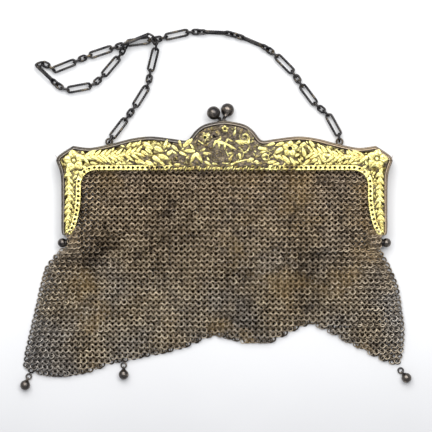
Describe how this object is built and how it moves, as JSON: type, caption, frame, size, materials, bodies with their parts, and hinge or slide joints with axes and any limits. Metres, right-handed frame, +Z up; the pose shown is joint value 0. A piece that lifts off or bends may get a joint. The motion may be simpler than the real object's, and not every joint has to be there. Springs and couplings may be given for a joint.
{
  "type": "metal mesh purse",
  "caption": "Small ring mesh purse with a hinged gilt metal frame in cast leaf relief, ball clasp, link chain handle and ball drops on its hem, lying on its back.",
  "frame": {"origin": "flat underside of the back plate, on the centre line, in the middle of the frame's band", "axes": "+X to the right along the frame, +Y to the clasp, +Z up from the surface that the purse lies on"},
  "size_m": [0.1917, 0.1772, 0.0101],
  "materials": {
    "gilt_frame": "worn pale gilt over grey-brown metal",
    "worn_frame": "tarnished plain back",
    "ring_mesh": "tarnished woven rings",
    "chain_metal": "dark tarnished links",
    "dark_fittings": "dark polished balls and pins"
  },
  "bodies": {
    "root": {"frame_front": "gilt_frame", "frame_back": "worn_frame", "hinge_pin_left": "dark_fittings", "hinge_pin_right": "dark_fittings", "clasp_ball_front": "dark_fittings", "clasp_ball_back": "dark_fittings", "mesh_bag": "ring_mesh", "handle_chain": "chain_metal", "ball_drop_left": "dark_fittings", "ball_drop_middle": "dark_fittings", "ball_drop_right": "dark_fittings"}
  },
  "joints": []
}
